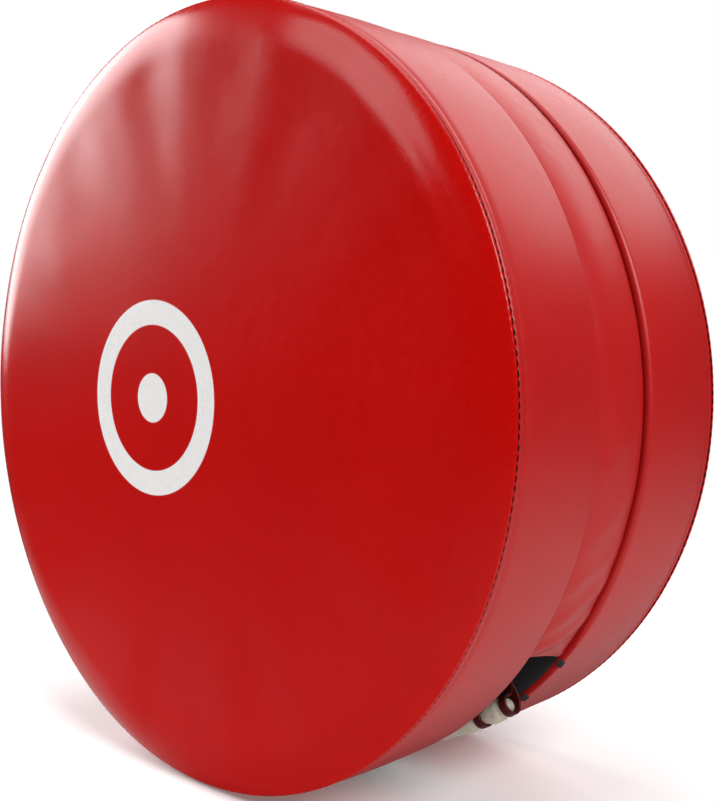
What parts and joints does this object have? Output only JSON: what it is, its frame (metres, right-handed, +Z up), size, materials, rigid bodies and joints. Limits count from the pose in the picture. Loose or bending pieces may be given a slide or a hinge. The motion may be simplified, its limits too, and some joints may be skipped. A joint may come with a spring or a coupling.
{
  "type": "round strike pad",
  "caption": "Round double-faced martial arts strike pad: padded discs joined by a band round the rim, open at one side for the forearm, with a grip and a forearm strap inside.",
  "frame": {"origin": "centre of the drum, midway between the strike faces", "axes": "+Y out of the rear strike face (the front one looks along -Y), +Z up with the mouth at the bottom, +X to the right seen from the front"},
  "size_m": [0.4013, 0.18, 0.4012],
  "materials": {
    "face_leather": "smooth semi-gloss coated leather",
    "side_leather": "smooth semi-gloss coated leather",
    "band_leather": "soft semi-gloss coated leather, puckered",
    "loop_leather": "thin coated leather",
    "rail_leather": "soft off-white coated leather",
    "strap_leather": "padded coated leather",
    "grip_leather": "soft matt coated leather",
    "lining_cloth": "plain-woven nylon",
    "webbing": "ribbed webbing",
    "loop_pile": "soft loop pile",
    "hook_tape": "stiff hook tape",
    "rope_cord": "twisted cotton rope",
    "seam_thread": "bonded nylon thread",
    "lining_thread": "bonded nylon thread",
    "strike_foam": "closed-cell foam",
    "core_foam": "closed-cell foam",
    "soft_foam": "open-cell foam"
  },
  "bodies": {
    "rear_pad": {"rear_face_panel": "face_leather", "rear_gusset": "side_leather", "rear_lining": "lining_cloth", "rear_foam_strike": "strike_foam", "rear_foam_core": "core_foam", "rear_foam_soft": "soft_foam", "rear_face_thread": "seam_thread", "rear_lining_thread": "lining_thread", "band_cover": "band_leather", "band_padding": "core_foam", "band_lining": "lining_cloth", "band_binding_right": "band_leather", "band_binding_left": "band_leather", "band_thread_front": "seam_thread", "band_thread_rear": "seam_thread", "rail_cover": "rail_leather", "rail_rope": "rope_cord", "rail_loops_right": "loop_leather", "rail_loops_left": "loop_leather", "grip_tab_right": "loop_leather", "grip_tab_left": "loop_leather", "strap_band": "strap_leather", "strap_loop_patch": "loop_pile", "strap_patch_right": "webbing", "strap_anchor": "webbing", "strap_patch_left": "webbing"},
    "front_pad": {"front_face_panel": "face_leather", "front_gusset": "side_leather", "front_lining": "lining_cloth", "front_foam_strike": "strike_foam", "front_foam_core": "core_foam", "front_foam_soft": "soft_foam", "front_face_thread": "seam_thread", "front_lining_thread": "lining_thread"},
    "grip": {"grip_sleeve": "grip_leather", "grip_rope": "rope_cord"},
    "strap_tail": {"strap_tail": "webbing", "strap_hook_patch": "hook_tape"}
  },
  "joints": [
    {"name": "pad_spread", "type": "hinge", "parent": "rear_pad", "child": "front_pad", "pos_m": [0, -0.021, 0.2], "axis": [-1, 0, 0], "range_deg": [0, 3], "stiffness_Nm_per_rad": 80},
    {"name": "grip_swing", "type": "hinge", "parent": "rear_pad", "child": "grip", "pos_m": [0, 0.0144, 0.07], "axis": [1, 0, 0], "range_deg": [-60, 60]},
    {"name": "tail_peel", "type": "hinge", "parent": "rear_pad", "child": "strap_tail", "pos_m": [-0.077, 0.0207, -0.07], "axis": [0, 0, -1], "range_deg": [0, 6.5]}
  ]
}
